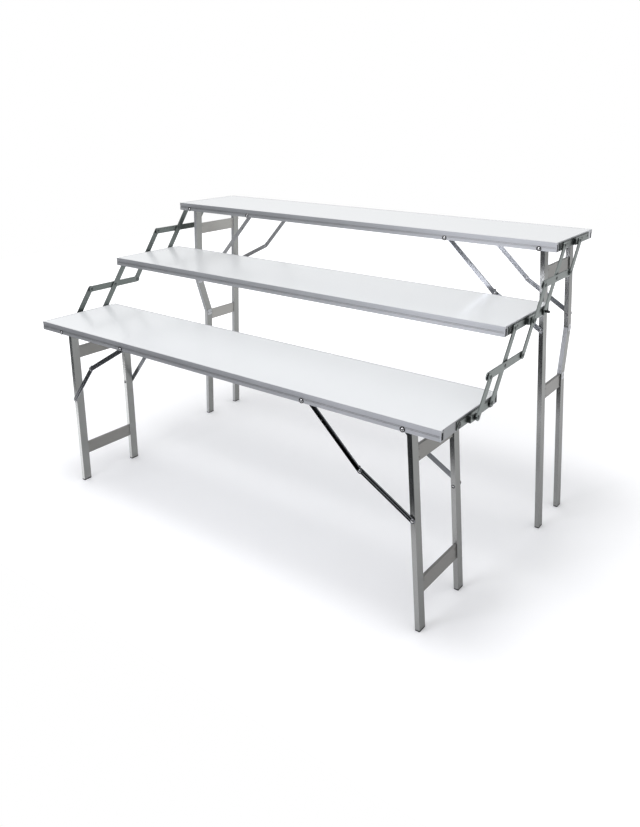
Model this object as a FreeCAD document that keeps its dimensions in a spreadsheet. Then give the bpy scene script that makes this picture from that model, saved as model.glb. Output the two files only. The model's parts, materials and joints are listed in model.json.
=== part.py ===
# Folding three-tier display table.
#
# Two folding tables of different height carry the lower and the top shelf.
# The middle shelf hangs between them on a double parallelogram of flat steel
# bars at each end.  Every shelf is a thin panel in a channel rim.
#
# Row frame: millimetres, +X along the shelves, +Y from front to rear, +Z up.
# The origin is the centre of the footprint, at floor level.

import FreeCAD, Part
import os
import re
import Sketcher
from FreeCAD import Vector

doc = FreeCAD.newDocument("TieredDisplayTable")

# ---------------------------------------------------------------- sizes

sizes = {
    # shelves
    "shelf_length": 2000,
    "shelf_depth": 400,
    "lower_height": 760,
    "step_rise": 222,
    # channel rim round each shelf
    "rim_height": 36,
    "rim_wall": 2.5,
    "rim_reach": 15,
    "ledge_thick": 2,
    "groove_drop": 10,
    "groove_height": 12,
    "groove_cut": 0.8,
    "end_rim_reach": 13,
    "panel_thick": 5,
    "panel_recess": 0.4,
    "panel_gap": 0.3,
    "plug_length": 8,
    "plug_recess": 1.5,
    # leg frames
    "leg_width": 18,
    "leg_depth": 38,
    "leg_wall": 1.6,
    "leg_inset": 40,
    "leg_overhang": 8,
    "lower_hinge_inset": 133,
    "top_hinge_inset": 68,
    "lower_left_lean": -0.3,
    "lower_right_lean": 4.6,
    "top_left_lean": 1.8,
    "top_right_lean": 3.4,
    "foot_sole": 5,
    "foot_plug": 16,
    "kink_shift": 65,
    "kink_start": 388,
    "kink_run": 184,
    # cross rails
    "rail_height": 54,
    "rail_thick": 12,
    "rail_wall": 1.5,
    "upper_rail_drop": 109,
    "lower_rail_drop": 578,
    "top_rail_drop": 594,
    # folding struts
    "strut_run": 396,
    "strut_drop": 327,
    "lower_left_slack": 8.4,
    "lower_right_slack": 3.4,
    "top_left_slack": 9,
    "top_right_slack": 2.7,
    "strut_width": 20,
    "strut_thick": 3,
    "strut_gap": 2,
    "strut_pin": 3,
    "strut_head": 6,
    "strut_head_height": 1.5,
    # hinge axles and strut bolts
    "axle_radius": 4,
    "sleeve_wall": 1.2,
    "dome_radius": 7,
    "dome_height": 4.5,
    "nut_radius": 6.5,
    "nut_height": 4.5,
    # step linkage at both ends
    "bar_pitch": 136,
    "bar_width": 26,
    "bar_thick": 4,
    "coupler_width": 28,
    "first_pivot": 66.5,
    "rear_span": 139,
    "front_span": 135,
    "pivot_drop": 18,
    "plate_thick": 3,
    "plate_height": 28,
    "plate_end": 14,
    "plate_start": 25,
    "lower_plate_start": 98,
    "screw_gap": 32,
    "lug_thick": 3,
    "lug_neck": 36,
    "lug_width": 24,
    "bar_spacer": 2.5,
    "spacer_radius": 11,
    "end_spacer_radius": 16,
    "washer_thick": 1.2,
    "link_gap": 0.5,
    "pin_radius": 4,
    "head_radius": 7,
    "head_height": 2.5,
    "fixing_radius": 5,
    "front_fixing_radius": 8,
    "knob_radius": 5,
    "knob_length": 16,
    "knob_bore": 6,
    # fits
    "running_gap": 0.1,
    "loose_gap": 0.5,
    "side_gap": 0.3,
}

worked = {
    # slope and reach of the parallelogram bars
    "bar_lean": "acos(step_rise / (2 * bar_pitch))",
    "bar_reach": "bar_pitch * sin(bar_lean)",
    "bar_fall": "bar_pitch * cos(bar_lean)",
    "setback": "front_span + rear_span + 2 * bar_reach",
    "full_depth": "shelf_depth + 2 * setback",
    # the three shelves: front edge and top surface
    "lower_front": "-full_depth / 2",
    "middle_front": "lower_front + setback",
    "top_front": "lower_front + 2 * setback",
    "middle_height": "lower_height + step_rise",
    "top_height": "lower_height + 2 * step_rise",
    "half_length": "shelf_length / 2",
    # pivots along each end plate, from the shelf's front edge
    "second_pivot": "first_pivot + rear_span",
    "third_pivot": "first_pivot + rear_span + front_span",
    # layers of the linkage, out from the shelf's end face
    "bar_layer": "plate_thick + bar_spacer",
    "coupler_layer": "bar_layer + bar_thick + washer_thick",
    "coupler_face": "coupler_layer + bar_thick",
    "rear_link_layer": "coupler_face + washer_thick",
    "front_link_layer": "rear_link_layer + bar_thick + link_gap",
    "lug_layer": "coupler_face - lug_thick",
    "knob_layer": "bar_layer + bar_thick + side_gap",
    # panel seat, and the legs' axle just above the rim's lower ledge
    "ledge_drop": "panel_recess + panel_thick",
    "sleeve_radius": "axle_radius + running_gap + sleeve_wall",
    "hinge_drop": "rim_height - ledge_thick - side_gap - sleeve_radius",
    # layers of the two strut arms, behind the rim
    "lower_arm_layer": "leg_inset - strut_gap - strut_thick",
    "upper_arm_layer": "lower_arm_layer - strut_gap - strut_thick",
    # half of the turn at each bend of a kinked leg
    "kink_turn": "atan(kink_shift / kink_run)",
}

# Each leg frame: the shelf it hangs from, its end of the shelf, and whether
# its strut elbows stand above or below the straight line.
frames = {
    "lower_left": {"shelf": "lower", "side": 1, "elbow": -1},
    "lower_right": {"shelf": "lower", "side": -1, "elbow": 1},
    "top_left": {"shelf": "top", "side": 1, "elbow": 1},
    "top_right": {"shelf": "top", "side": -1, "elbow": 1},
}

# A strut spans the chord from the rim bolt to the pin on the leg.  Its two arms
# together are longer than the chord by the frame's slack, and their lengths
# differ so that they fold flat along the folded leg.
for frame in frames:
    lean = "(%s_lean * 1deg)" % frame
    words = {"frame": frame,
             "elbow": frames[frame]["elbow"],
             "across": "(strut_run + strut_drop * sin(%s))" % lean,
             "down": "(strut_drop * cos(%s))" % lean}
    for name, formula in (
            ("chord", "sqrt({across}^2 + {down}^2)"),
            ("upper_arm", "({frame}_chord + {frame}_slack + strut_run - strut_drop) / 2"),
            ("lower_arm", "{frame}_upper_arm - strut_run + strut_drop"),
            ("corner", "acos(({frame}_upper_arm^2 + {frame}_chord^2 - {frame}_lower_arm^2)"
                       " / (2 * {frame}_upper_arm * {frame}_chord))"),
            ("upper_dip", "atan({down} / {across}) + {elbow} * {frame}_corner"),
            ("lower_dip", "atan(({down} - {frame}_upper_arm * sin({frame}_upper_dip))"
                          " / ({across} - {frame}_upper_arm * cos({frame}_upper_dip)))")):
        worked["%s_%s" % (frame, name)] = formula.format(**words)

NAME = re.compile(r"[a-z][a-z_]*_[a-z_]*[a-z]|setback")


def bind(text):
    """Turn the plain names of an expression into references to the two sheets."""
    def reference(match):
        word = match.group(0)
        if word in sizes:
            return "Sizes." + word
        if word in worked:
            return "Worked." + word
        return word
    return NAME.sub(reference, text)


def fill_sheet(label, cells, is_formula):
    """Write one sheet: a name in column A and its number or formula in column B."""
    sheet = doc.addObject("Spreadsheet::Sheet", label)
    for row, (alias, content) in enumerate(cells.items(), start=1):
        sheet.set("A%d" % row, alias)
        sheet.set("B%d" % row, "=" + bind(content) if is_formula else str(content))
        sheet.setAlias("B%d" % row, alias)
    return sheet


size_sheet = fill_sheet("Sizes", sizes, False)
worked_sheet = fill_sheet("Worked", worked, True)
doc.recompute()

# ---------------------------------------------------------------- helpers

nodes = []
TURN_TO = {"x": (0, 1, 0, 90), "y": (1, 0, 0, -90), "z": (0, 0, 1, 0),
           "-x": (0, 1, 0, -90), "-y": (1, 0, 0, 90)}


def value(text):
    """The present number of an expression, used as a sketch's starting shape."""
    return float(size_sheet.evalExpression(bind(text)))


def place(item, at, axis=(0, 0, 1), angle="0"):
    """Bind an object's placement: where it stands and how far it turns."""
    where = "vector(%s; %s; %s)" % at
    turn = "rotation(vector(%d; %d; %d); %s)" % (axis + (angle,))
    item.setExpression("Placement", bind("placement(%s; %s)" % (where, turn)))
    return item


def box(size, at):
    """A block, from its lowest corner."""
    item = doc.addObject("Part::Box", "Block")
    for side, text in zip(("Length", "Width", "Height"), size):
        item.setExpression(side, bind(text))
    return place(item, at)


def rod(radius, length, at, along):
    """A round bar that starts at a point and runs along an axis."""
    item = doc.addObject("Part::Cylinder", "Rod")
    item.setExpression("Radius", bind(radius))
    item.setExpression("Height", bind(length))
    return place(item, at, TURN_TO[along][:3], "%d" % TURN_TO[along][3])


def dome(radius, height, at, along):
    """Half an ellipsoid, as the round head of a bolt or rivet."""
    item = doc.addObject("Part::Ellipsoid", "Dome")
    item.Angle1 = 0
    item.setExpression("Radius1", bind(height))
    item.setExpression("Radius2", bind(radius))
    item.setExpression("Radius3", bind(radius))
    return place(item, at, TURN_TO[along][:3], "%d" % TURN_TO[along][3])


def fuse(*items):
    item = doc.addObject("Part::MultiFuse", "Joined")
    item.Shapes = list(items)
    item.Refine = True
    return item


def cut(base, *tools):
    item = doc.addObject("Part::Cut", "Cut")
    item.Base = base
    item.Tool = tools[0] if len(tools) == 1 else group(*tools)
    item.Refine = True
    return item


def group(*items):
    item = doc.addObject("Part::Compound", "Group")
    item.Links = list(items)
    return item


def across_ends(item):
    """The same piece at the other end of the shelf."""
    copy = doc.addObject("Part::Mirroring", "OtherEnd")
    copy.Source = item
    copy.Normal = Vector(1, 0, 0)
    return copy


def across_depth(item):
    """The same piece on the other long side of the shelf."""
    copy = doc.addObject("Part::Mirroring", "OtherSide")
    copy.Source = item
    copy.Normal = Vector(0, 1, 0)
    copy.setExpression("Base.y", bind("shelf_depth / 2"))
    return copy


def node(label, *items):
    """A named sub-part: one or more separate solids under one label."""
    item = group(*items)
    item.Label = label
    nodes.append(item)
    return item


def on_shelf(shelf, item):
    """Move a node from shelf coordinates (front edge, top surface) to its shelf."""
    return place(item, ("0", shelf + "_front", shelf + "_height"))


def plane_of(body, role):
    return [item for item in body.Origin.OriginFeatures if item.Role == role][0]


def profile(body, role, *outlines):
    """A sketch of closed outlines whose corners are bound to the sheets."""
    sketch = body.newObject("Sketcher::SketchObject", "Profile")
    sketch.AttachmentSupport = [(plane_of(body, role), "")]
    sketch.MapMode = "FlatFace"
    for corners in outlines:
        first = sketch.GeometryCount
        count = len(corners)
        points = [Vector(value(across), value(up), 0) for across, up in corners]
        for index in range(count):
            line = Part.LineSegment(points[index], points[(index + 1) % count])
            sketch.addGeometry(line, False)
        for index in range(count):
            following = first + (index + 1) % count
            sketch.addConstraint(Sketcher.Constraint("Coincident", first + index, 2, following, 1))
        for index, (across, up) in enumerate(corners):
            for kind, text, number in (("DistanceX", across, points[index].x),
                                       ("DistanceY", up, points[index].y)):
                corner = Sketcher.Constraint(kind, -1, 1, first + index, 1, number)
                place_in_list = sketch.addConstraint(corner)
                sketch.setExpression("Constraints[%d]" % place_in_list, bind(text))
    return sketch


def pad(body, sketch, length, midplane=False):
    feature = body.newObject("PartDesign::Pad", "Pad")
    feature.Profile = sketch
    feature.setExpression("Length", bind(length))
    feature.Midplane = midplane
    body.Tip = feature
    return feature


def strap(pitch, width, thick, normal, start, top_bore, end_bore):
    """A flat bar with round ends that hangs from its first hole down to its second.

    It lies square to the normal axis, from the layer start outwards."""
    def centre(drop):
        return (start, "0", drop) if normal == "x" else ("0", start, drop)

    half = "%s / 2" % width
    if normal == "x":
        block = box((thick, width, pitch), (start, "-" + half, "-" + pitch))
    else:
        block = box((width, thick, pitch), ("-" + half, start, "-" + pitch))
    ends = [rod(half, thick, centre(drop), normal) for drop in ("0", "-" + pitch)]
    bores = [rod(bore, thick, centre(drop), normal)
             for bore, drop in ((top_bore, "0"), (end_bore, "-" + pitch))]
    return cut(fuse(block, *ends), *bores)


# ---------------------------------------------------------------- shelves

# The plain pivots of each end plate that carry a long bar, the outermost and the
# innermost link on its lug, where the plate starts, and the small screws that fix
# it.  A larger screw stands at the start of every plate.
PLATE_BARS = {"top": ["first_pivot"], "middle": ["first_pivot", "third_pivot"], "lower": ["third_pivot"]}
OUTER_LINK = {"top": "rear_link_layer", "middle": "front_link_layer", "lower": "front_link_layer"}
INNER_LINK = {"top": "rear_link_layer", "middle": "rear_link_layer", "lower": "front_link_layer"}
PLATE_START = {"top": "plate_start", "middle": "plate_start", "lower": "lower_plate_start"}
FRONT_SCREW = "first_pivot + screw_gap"
REAR_SCREW = "second_pivot + front_span / 2"
PLATE_SCREWS = {"top": [FRONT_SCREW, REAR_SCREW, "third_pivot"],
                "middle": [FRONT_SCREW, REAR_SCREW],
                "lower": [REAR_SCREW]}
KNOB_PIVOT = ("middle", "third_pivot")
BAR_SPACERS = {"first_pivot": "spacer_radius", "third_pivot": "end_spacer_radius"}

GROOVED_RIM = (
    ("0", "0"),
    ("rim_wall", "0"),
    ("rim_wall", "-ledge_drop"),
    ("rim_reach", "-ledge_drop"),
    ("rim_reach", "-ledge_drop - ledge_thick"),
    ("rim_wall", "-ledge_drop - ledge_thick"),
    ("rim_wall", "ledge_thick - rim_height"),
    ("rim_reach", "ledge_thick - rim_height"),
    ("rim_reach", "-rim_height"),
    ("0", "-rim_height"),
    ("0", "-groove_drop - groove_height"),
    ("groove_cut", "-groove_drop - groove_height"),
    ("groove_cut", "-groove_drop"),
    ("0", "-groove_drop"),
)

PLAIN_RIM = (
    ("half_length", "0"),
    ("half_length", "-rim_height"),
    ("half_length - end_rim_reach", "-rim_height"),
    ("half_length - end_rim_reach", "ledge_thick - rim_height"),
    ("half_length - rim_wall", "ledge_thick - rim_height"),
    ("half_length - rim_wall", "-ledge_drop - ledge_thick"),
    ("half_length - end_rim_reach", "-ledge_drop - ledge_thick"),
    ("half_length - end_rim_reach", "-ledge_drop"),
    ("half_length - rim_wall", "-ledge_drop"),
    ("half_length - rim_wall", "0"),
)


def panel(shelf):
    edge = "(rim_wall + panel_gap)"
    sheet = box(("shelf_length - 2 * " + edge, "shelf_depth - 2 * " + edge, "panel_thick"),
                (edge + " - half_length", edge, "-ledge_drop"))
    on_shelf(shelf, node(shelf + "_panel", sheet))


def bolt_places(shelf):
    """Distances from the shelf's end of the leg hinge and of the strut bolt."""
    hinge = shelf + "_hinge_inset"
    return hinge, "%s + strut_run" % hinge


def long_rims(shelf, has_legs):
    body = doc.addObject("PartDesign::Body", "LongRim")
    pad(body, profile(body, "YZ_Plane", GROOVED_RIM), "shelf_length", True)
    rim = body
    if has_legs:
        bores = []
        for inset in bolt_places(shelf):
            bore = rod("axle_radius + running_gap", "rim_wall",
                       ("half_length - (%s)" % inset, "0", "-hinge_drop"), "y")
            bores += [bore, across_ends(bore)]
        rim = cut(body, *bores)
    on_shelf(shelf, node(shelf + "_long_rims", rim, across_depth(rim)))


def end_rims(shelf):
    body = doc.addObject("PartDesign::Body", "EndRim")
    pad(body, profile(body, "XZ_Plane", PLAIN_RIM), "shelf_depth - 2 * (rim_reach + panel_gap)", True)
    place(body, ("0", "shelf_depth / 2", "0"))
    on_shelf(shelf, node(shelf + "_end_rims", body, across_ends(body)))


def rim_plugs(shelf):
    """Black end plugs in the open ends of the long rims."""
    plug = box(("plug_length", "rim_reach - rim_wall - 2 * panel_gap",
                "rim_height - ledge_drop - 2 * (ledge_thick + panel_gap)"),
               ("half_length - plug_recess - plug_length", "rim_wall + panel_gap",
                "ledge_thick + panel_gap - rim_height"))
    far = across_depth(plug)
    on_shelf(shelf, node(shelf + "_rim_plugs", plug, far, across_ends(plug), across_ends(far)))


def end_plates(shelf):
    """Steel plate with up to two plain pivots and a set-out lug for the middle one."""
    face = "half_length"
    start = PLATE_START[shelf]
    plate = box(("plate_thick", "third_pivot + plate_end - " + start, "plate_height"),
                (face, start, "-pivot_drop - plate_height / 2"))
    lug_low = "-pivot_drop - lug_width / 2"
    neck = box(("coupler_face - plate_thick", "lug_thick", "lug_width"),
               (face + " + plate_thick", "second_pivot - lug_neck", lug_low))
    ear = box(("lug_thick", "lug_neck", "lug_width"),
              (face + " + lug_layer", "second_pivot - lug_neck", lug_low))
    tip = rod("lug_width / 2", "lug_thick", (face + " + lug_layer", "second_pivot", "-pivot_drop"), "x")
    bore = "pin_radius + running_gap"
    bores = [rod(bore, "lug_thick", (face + " + lug_layer", "second_pivot", "-pivot_drop"), "x")]
    for pivot in PLATE_BARS[shelf]:
        bores.append(rod(bore, "plate_thick", (face, pivot, "-pivot_drop"), "x"))
    whole = cut(fuse(plate, neck, ear, tip), *bores)
    on_shelf(shelf, node(shelf + "_end_plates", whole, across_ends(whole)))


def pivot_shank(start, end, at_y, at_z):
    """The plain part of a rivet, through the layers from start to end."""
    return rod("pin_radius", "%s - (%s)" % (end, start), ("half_length + " + start, at_y, at_z), "x")


def pivot_pin(start, end, at_y, at_z):
    """A rivet through the layers from start to end, with its head outside."""
    head = dome("head_radius", "head_height", ("half_length + " + end, at_y, at_z), "x")
    return fuse(pivot_shank(start, end, at_y, at_z), head)


def plate_rivets(shelf):
    """Pivot rivets of the end plates and the round-headed screws that hold the plates."""
    pins = [pivot_pin("lug_layer", OUTER_LINK[shelf] + " + bar_thick + side_gap",
                      "second_pivot", "-pivot_drop")]
    for pivot in PLATE_BARS[shelf]:
        if (shelf, pivot) == KNOB_PIVOT:
            pins.append(pivot_shank("0", "knob_layer + knob_bore", pivot, "-pivot_drop"))
        else:
            pins.append(pivot_pin("0", "bar_layer + bar_thick + side_gap", pivot, "-pivot_drop"))
    screws = [("fixing_radius", at) for at in PLATE_SCREWS[shelf]]
    screws.append(("front_fixing_radius", PLATE_START[shelf] + " + plate_end"))
    for radius, at in screws:
        pins.append(dome(radius, "bar_spacer - side_gap",
                         ("half_length + plate_thick", at, "-pivot_drop"), "x"))
    on_shelf(shelf, node(shelf + "_plate_rivets", *(pins + [across_ends(pin) for pin in pins])))


def lock_knobs():
    """Black knobs screwed on the pins of the middle shelf's rear bars."""
    at = ("half_length + knob_layer", KNOB_PIVOT[1], "-pivot_drop")
    knob = cut(rod("knob_radius", "knob_length", at, "x"), rod("pin_radius", "knob_bore", at, "x"))
    on_shelf("middle", node("middle_lock_knobs", knob, across_ends(knob)))


def ring(start, length, at_y, at_z, radius="spacer_radius"):
    """A black nylon spacer ring round a pin."""
    at = ("half_length + " + start, at_y, at_z)
    return cut(rod(radius, length, at, "x"), rod("pin_radius + running_gap", length, at, "x"))


def bar_spacers(shelf):
    """Nylon spacers between an end plate and its long bar, and under the outer link."""
    rings = [ring("plate_thick", "bar_spacer - side_gap", pivot, "-pivot_drop", BAR_SPACERS[pivot])
             for pivot in PLATE_BARS[shelf]]
    rings.append(ring("coupler_face", INNER_LINK[shelf] + " - coupler_face - side_gap",
                      "second_pivot", "-pivot_drop"))
    on_shelf(shelf, node(shelf + "_bar_spacers", *(rings + [across_ends(item) for item in rings])))


def shelf_parts(shelf, has_legs):
    panel(shelf)
    long_rims(shelf, has_legs)
    end_rims(shelf)
    rim_plugs(shelf)
    end_plates(shelf)
    plate_rivets(shelf)
    bar_spacers(shelf)


# ---------------------------------------------------------------- leg frames

def leg_outline(inset, top, foot, shift):
    """Outline of a leg seen from the end: straight, or kinked by shift.

    inset takes the wall off both edges, so it draws the outside or the bore."""
    left = inset
    right = "(leg_depth - %s)" % inset
    if shift == "0":
        return ((left, top), (right, top), (right, foot), (left, foot))
    mitre = "tan(kink_turn / 2)"

    def bend(edge, level):
        return "-(%s) + %s * %s" % (level, edge, mitre)

    low = "%s + %s"
    return ((left, top), (left, bend(left, "kink_start")),
            (low % (left, shift), bend(left, "kink_start + kink_run")), (low % (left, shift), foot),
            (low % (right, shift), foot), (low % (right, shift), bend(right, "kink_start + kink_run")),
            (right, bend(right, "kink_start")), (right, top))


def leg(frame, kinked):
    """A rectangular tube, hung from its hinge hole; its front face is at the leg inset."""
    shift = "kink_shift" if kinked else "0"
    foot = "-" + leg_length(frame)
    body = doc.addObject("PartDesign::Body", "Leg")
    outside = profile(body, "YZ_Plane", leg_outline("0", "leg_overhang", foot, shift))
    pad(body, outside, "leg_width", True)
    bore = profile(body, "YZ_Plane", leg_outline("leg_wall", "leg_overhang", foot, shift))
    hollow = body.newObject("PartDesign::Pocket", "Bore")
    hollow.Profile = bore
    hollow.Midplane = True
    hollow.setExpression("Length", bind("leg_width - 2 * leg_wall"))
    body.Tip = hollow
    place(body, ("0", "leg_inset", "0"))
    hole = rod("axle_radius + running_gap", "leg_depth", ("0", "leg_inset", "0"), "y")
    return cut(body, hole)


def leg_length(frame):
    """From the hinge down the leg to the end of the tube, just above the floor."""
    shelf = frames[frame]["shelf"]
    return "((%s_height - hinge_drop - foot_sole) / cos(%s_lean * 1deg))" % (shelf, frame)


def hinge(frame):
    """The point a leg frame turns about, in shelf coordinates."""
    side = frames[frame]["side"]
    shelf = frames[frame]["shelf"]
    return ("%d * (%s_hinge_inset - half_length)" % (side, shelf), "0", "-hinge_drop")


def on_hinge(frame, item):
    """Hang a node on its hinge and lean it outwards."""
    side = frames[frame]["side"]
    shelf = frames[frame]["shelf"]
    across, along, up = hinge(frame)
    at = (across, shelf + "_front", "%s_height + %s" % (shelf, up))
    return place(item, at, (0, 1, 0), "%d * %s_lean" % (side, frame))


def kinked_side(frame):
    return {"top_left": "front", "top_right": "rear"}.get(frame, "")


def rail(frame, drop, is_low):
    """A pressed sheet channel between the two legs, with its web on the right-hand side."""
    kinked = kinked_side(frame)
    start = "leg_inset + leg_depth"
    end = "shelf_depth - leg_inset - leg_depth"
    if is_low and kinked == "front":
        start += " + kink_shift"
    if is_low and kinked == "rear":
        end += " - kink_shift"
    low = "(-%s - rail_height / 2)" % drop
    outside = box(("rail_thick", "%s - (%s)" % (end, start), "rail_height"),
                  ("-rail_thick / 2", start, low))
    # the wall is left standing on the right-hand side, above, below and at both ends
    hollow = box(("rail_thick", "%s - (%s) - 2 * rail_wall" % (end, start), "rail_height - 2 * rail_wall"),
                 ("-rail_wall - rail_thick / 2", start + " + rail_wall", "rail_wall + " + low))
    return cut(outside, hollow)


def foot_cap(frame, kinked):
    """A plastic sole under the tube with a plug inside it."""
    fit = "leg_wall + running_gap"
    end = "-" + leg_length(frame)
    y_shift = " + kink_shift" if kinked else ""
    sole = box(("leg_width", "leg_depth", "foot_sole + leg_wall"),
               ("-leg_width / 2", "leg_inset" + y_shift, end + " - foot_sole - leg_wall"))
    plug = box(("leg_width - 2 * (%s)" % fit, "leg_depth - 2 * (%s)" % fit, "foot_plug"),
               ("%s - leg_width / 2" % fit, "leg_inset + " + fit + y_shift, end))
    return fuse(sole, plug)


def on_floor(item):
    """Trim what would reach below the floor, so that a leaning foot stands flat."""
    below = box(("2 * shelf_length", "2 * full_depth", "leg_depth"),
                ("-shelf_length", "-full_depth", "-leg_depth"))
    return cut(item, below)


def leg_frame(frame):
    kinked = kinked_side(frame)
    front = leg(frame, kinked == "front")
    rear = across_depth(leg(frame, kinked == "rear"))
    on_hinge(frame, node(frame + "_legs", front, rear))

    low_drop = "lower_rail_drop" if frames[frame]["shelf"] == "lower" else "top_rail_drop"
    on_hinge(frame, node(frame + "_cross_rails", rail(frame, "upper_rail_drop", False),
                         rail(frame, low_drop, True)))

    caps = group(foot_cap(frame, kinked == "front"), across_depth(foot_cap(frame, kinked == "rear")))
    on_hinge(frame, caps)
    node(frame + "_foot_caps", on_floor(caps))


# ---------------------------------------------------------------- folding struts

def strut_place(frame, item, across, up, angle):
    """Put a strut piece at a point given from the hinge, turned about the Y axis."""
    side = frames[frame]["side"]
    shelf = frames[frame]["shelf"]
    base = hinge(frame)
    at = ("%s + %d * (%s)" % (base[0], side, across), shelf + "_front",
          "%s_height + %s + %s" % (shelf, base[2], up))
    return place(item, at, (0, 1, 0), "%d * (%s)" % (side, angle))


def struts(frame):
    """Front and rear folding struts: an upper arm on the rim and a lower arm on the leg."""
    bore = "strut_pin + running_gap"
    upper_arm = frame + "_upper_arm"
    lower_arm = frame + "_lower_arm"
    upper_dip = frame + "_upper_dip"
    lower_dip = frame + "_lower_dip"

    upper = strap(upper_arm, "strut_width", "strut_thick", "y", "upper_arm_layer",
                  "axle_radius + running_gap", bore)
    upper_pair = node(frame + "_upper_arms", upper, across_depth(upper))
    strut_place(frame, upper_pair, "strut_run", "0", "90deg - " + upper_dip)

    elbow = ("strut_run - %s * cos(%s)" % (upper_arm, upper_dip),
             "-%s * sin(%s)" % (upper_arm, upper_dip))
    lower = strap(lower_arm, "strut_width", "strut_thick", "y", "lower_arm_layer", bore, bore)
    lower_pair = node(frame + "_lower_arms", lower, across_depth(lower))
    strut_place(frame, lower_pair, elbow[0], elbow[1], "90deg - " + lower_dip)

    def head(layer, drop, along):
        return dome("strut_head", "strut_head_height", ("0", layer, drop), along)

    def washer(layer, drop, length):
        return rod("strut_head", length, ("0", layer, drop), "y")

    down = "-" + lower_arm
    elbow_rivet = fuse(
        rod("strut_pin", "2 * strut_thick + strut_gap", ("0", "upper_arm_layer", "0"), "y"),
        head("upper_arm_layer", "0", "-y"),
        washer("upper_arm_layer + strut_thick + running_gap", "0", "strut_gap - 2 * running_gap"),
        head("lower_arm_layer + strut_thick", "0", "y"))
    leg_rivet = fuse(
        rod("strut_pin", "strut_thick", ("0", "lower_arm_layer", down), "y"),
        head("lower_arm_layer", down, "-y"),
        washer("lower_arm_layer + strut_thick", down, "strut_gap - side_gap"))
    rivets = node(frame + "_strut_rivets", elbow_rivet, leg_rivet,
                  across_depth(elbow_rivet), across_depth(leg_rivet))
    strut_place(frame, rivets, elbow[0], elbow[1], "90deg - " + lower_dip)


def sleeve(inset, length):
    """A spacer tube on a bolt, behind the rim."""
    at = ("half_length - (%s)" % inset, "rim_wall", "-hinge_drop")
    return cut(rod("sleeve_radius", length, at, "y"),
               rod("axle_radius + running_gap", length, at, "y"))


def hinge_bolts(shelf):
    """Through axles for the legs, short bolts for the struts, and their sleeves."""
    hinge_at, strut_at = bolt_places(shelf)
    across = "half_length - (%s)"
    front = (across % hinge_at, "0", "-hinge_drop")
    rear = (across % hinge_at, "shelf_depth", "-hinge_drop")
    axle = fuse(rod("axle_radius", "shelf_depth", front, "y"),
                dome("dome_radius", "dome_height", front, "-y"),
                dome("dome_radius", "dome_height", rear, "y"))
    bolt_front = (across % strut_at, "0", "-hinge_drop")
    nut_start = "(upper_arm_layer + strut_thick + side_gap)"
    bolt = fuse(rod("axle_radius", nut_start, bolt_front, "y"),
                dome("dome_radius", "dome_height", bolt_front, "-y"),
                rod("nut_radius", "nut_height", (across % strut_at, nut_start, "-hinge_drop"), "y"))
    leg_sleeve = sleeve(hinge_at, "leg_inset - rim_wall - side_gap")
    strut_sleeve = sleeve(strut_at, "upper_arm_layer - rim_wall - side_gap")
    one_end = [axle]
    for piece in (bolt, leg_sleeve, strut_sleeve):
        one_end += [piece, across_depth(piece)]
    both = one_end + [across_ends(piece) for piece in one_end]
    on_shelf(shelf, node(shelf + "_hinge_bolts", *both))


# ---------------------------------------------------------------- step linkage

def leaned(label, shelf, pivot, bar):
    """Hang a pair of bars at a pivot of a shelf and lean them forward."""
    at = ("0", "%s_front + %s" % (shelf, pivot), "%s_height - pivot_drop" % shelf)
    place(node(label, bar, across_ends(bar)), at, (1, 0, 0), "-bar_lean")


def long_bars(stage, shelf):
    """The long bars cross the coupler at mid length, so they have a third hole."""
    bore = "pin_radius + running_gap"
    start = "half_length + bar_layer"
    bar = strap("(2 * bar_pitch)", "bar_width", "bar_thick", "x", start, bore, bore)
    leaned(stage + "_long_bars", shelf, "first_pivot",
           cut(bar, rod(bore, "bar_thick", (start, "0", "-bar_pitch"), "x")))


def on_coupler(shelf, item):
    """Couplers stay level: place from the crossing of the long bar."""
    at = ("0", "%s_front + first_pivot - bar_reach" % shelf,
          "%s_height - pivot_drop - bar_fall" % shelf)
    return place(item, at)


def couplers(stage, shelf):
    """A level bar with three pivots: front link, long bar, rear link."""
    half = "coupler_width / 2"
    face = "half_length + coupler_layer"
    block = box(("bar_thick", "front_span + rear_span", "coupler_width"),
                (face, "-front_span", "-" + half))
    ends = [rod(half, "bar_thick", (face, at, "0"), "x") for at in ("-front_span", "rear_span")]
    bores = [rod("pin_radius + running_gap", "bar_thick", (face, at, "0"), "x")
             for at in ("-front_span", "0", "rear_span")]
    bar = cut(fuse(block, *ends), *bores)
    on_coupler(shelf, node(stage + "_couplers", bar, across_ends(bar)))

    pins = []
    for at, start, end in (("-front_span", "coupler_layer", "front_link_layer + bar_thick + side_gap"),
                           ("0", "bar_layer", "coupler_face"),
                           ("rear_span", "coupler_layer", "rear_link_layer + bar_thick + side_gap")):
        tail = dome("head_radius", "head_height - side_gap", ("half_length + " + start, at, "0"), "-x")
        pins.append(fuse(pivot_pin(start, end, at, "0"), tail))
    on_coupler(shelf, node(stage + "_coupler_rivets", *(pins + [across_ends(pin) for pin in pins])))

    rings = [ring("coupler_face", "front_link_layer - coupler_face - side_gap", "-front_span", "0"),
             ring("bar_layer + bar_thick + side_gap", "washer_thick - side_gap", "0", "0"),
             ring("coupler_face", "rear_link_layer - coupler_face - side_gap", "rear_span", "0")]
    on_coupler(shelf, node(stage + "_coupler_spacers", *(rings + [across_ends(item) for item in rings])))


def front_links(stage, shelf):
    """Front links hang from the coupler, half a stage below the shelf."""
    bar = strap("bar_pitch", "bar_width", "bar_thick", "x", "half_length + front_link_layer",
                "pin_radius + running_gap", "pin_radius + loose_gap")
    at = ("0", "%s_front + first_pivot - bar_reach - front_span" % shelf,
          "%s_height - pivot_drop - bar_fall" % shelf)
    place(node(stage + "_front_links", bar, across_ends(bar)), at, (1, 0, 0), "-bar_lean")


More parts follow.
